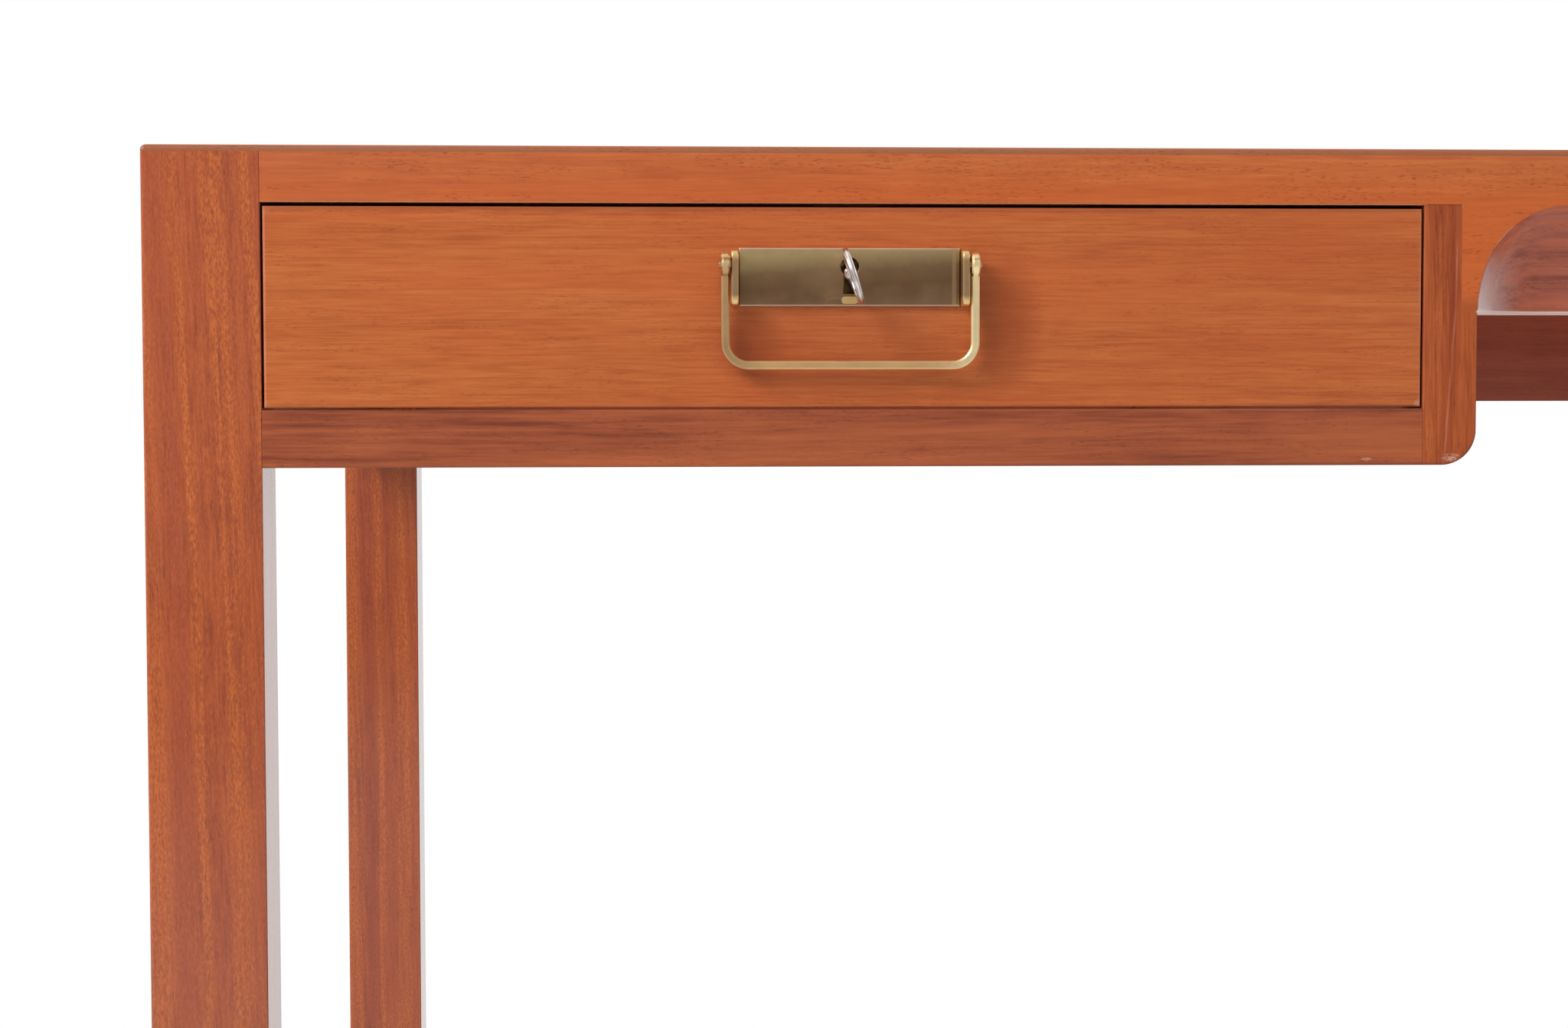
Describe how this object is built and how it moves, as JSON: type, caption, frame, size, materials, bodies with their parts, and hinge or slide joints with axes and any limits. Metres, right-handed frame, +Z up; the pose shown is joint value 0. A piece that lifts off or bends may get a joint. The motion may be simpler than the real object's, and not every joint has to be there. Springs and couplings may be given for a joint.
{
  "type": "writing desk",
  "caption": "Wooden writing desk on straight legs with inset dovetailed drawers, brass bail pulls with locks and keys, and a scooped apron over the kneehole.",
  "frame": {"origin": "on the floor, under the middle of the box that the whole desk fills, keys included", "axes": "+X to the user's right along the desk, +Y from the drawers to the back, +Z up"},
  "size_m": [1.7, 0.733, 0.73],
  "materials": {
    "top_veneer": "satin varnish",
    "case_wood": "satin varnish",
    "rail_wood": "satin varnish",
    "leg_wood": "satin varnish",
    "lower_rail_wood": "satin varnish",
    "stile_wood": "satin varnish",
    "drawer_front_wood": "satin varnish",
    "lining_wood": "unvarnished",
    "bottom_wood": "unvarnished",
    "runner_wood": "unvarnished",
    "plate_brass": "tarnished",
    "post_brass": "tarnished",
    "bail_brass": "worn",
    "lock_brass": "dull",
    "key_steel": "worn nickel",
    "screw_steel": "dull"
  },
  "bodies": {
    "carcass": {"top_sheet": "top_veneer", "top_core": "case_wood", "left_outer_side": "case_wood", "right_outer_side": "case_wood", "left_inner_side": "case_wood", "right_inner_side": "case_wood", "back_rail": "case_wood", "front_top_rail": "rail_wood", "front_left_leg": "leg_wood", "front_right_leg": "leg_wood", "rear_left_leg": "leg_wood", "rear_right_leg": "leg_wood", "left_lower_rail": "lower_rail_wood", "right_lower_rail": "lower_rail_wood", "left_stile": "stile_wood", "right_stile": "stile_wood", "left_outer_runner": "runner_wood", "left_inner_runner": "runner_wood", "right_outer_runner": "runner_wood", "right_inner_runner": "runner_wood"},
    "left_drawer": {"left_drawer_front": "drawer_front_wood", "left_drawer_side_a": "lining_wood", "left_drawer_side_b": "lining_wood", "left_drawer_back": "lining_wood", "left_drawer_bottom": "bottom_wood", "left_bottom_screws": "screw_steel", "left_lock_screws": "screw_steel", "left_pull_plate": "plate_brass", "left_pull_post_a": "post_brass", "left_pull_post_b": "post_brass", "left_pull_pins": "post_brass", "left_pull_nuts": "post_brass", "left_lock_case": "lock_brass"},
    "left_bail": {"left_bail": "bail_brass"},
    "left_key": {"left_key": "key_steel"},
    "left_bolt": {"left_lock_bolt": "lock_brass"},
    "right_drawer": {"right_drawer_front": "drawer_front_wood", "right_drawer_side_a": "lining_wood", "right_drawer_side_b": "lining_wood", "right_drawer_back": "lining_wood", "right_drawer_bottom": "bottom_wood", "right_bottom_screws": "screw_steel", "right_lock_screws": "screw_steel", "right_pull_plate": "plate_brass", "right_pull_post_a": "post_brass", "right_pull_post_b": "post_brass", "right_pull_pins": "post_brass", "right_pull_nuts": "post_brass", "right_lock_case": "lock_brass"},
    "right_bail": {"right_bail": "bail_brass"},
    "right_key": {"right_key": "key_steel"},
    "right_bolt": {"right_lock_bolt": "lock_brass"}
  },
  "joints": [
    {"name": "left_drawer_slide", "type": "slide", "parent": "carcass", "child": "left_drawer", "axis": [0, -1, 0], "range_m": [0, 0.36]},
    {"name": "left_bail_swing", "type": "hinge", "parent": "left_drawer", "child": "left_bail", "pos_m": [-0.5537, -0.34, 0.6798], "axis": [-1, 0, 0], "range_deg": [0, 100]},
    {"name": "left_key_turn", "type": "hinge", "parent": "left_drawer", "child": "left_key", "pos_m": [-0.5537, -0.3335, 0.6772], "axis": [0, -0.9903, -0.1392], "range_deg": [-18.1, 160.1]},
    {"name": "left_bolt_rise", "type": "slide", "parent": "left_drawer", "child": "left_bolt", "axis": [0, 0, 1], "range_m": [-0.00081, 0.0072]},
    {"name": "right_drawer_slide", "type": "slide", "parent": "carcass", "child": "right_drawer", "axis": [0, -1, 0], "range_m": [0, 0.36]},
    {"name": "right_bail_swing", "type": "hinge", "parent": "right_drawer", "child": "right_bail", "pos_m": [0.5537, -0.34, 0.6798], "axis": [-1, 0, 0], "range_deg": [0, 100]},
    {"name": "right_key_turn", "type": "hinge", "parent": "right_drawer", "child": "right_key", "pos_m": [0.5537, -0.3335, 0.6772], "axis": [0, -0.9903, -0.1392], "range_deg": [-18.1, 160.1]},
    {"name": "right_bolt_rise", "type": "slide", "parent": "right_drawer", "child": "right_bolt", "axis": [0, 0, 1], "range_m": [-0.00081, 0.0072]}
  ],
  "couplings": [
    {"joint": "left_key_turn", "follows": "left_bolt_rise", "rad_per_m": 387.85},
    {"joint": "right_key_turn", "follows": "right_bolt_rise", "rad_per_m": 387.85}
  ]
}
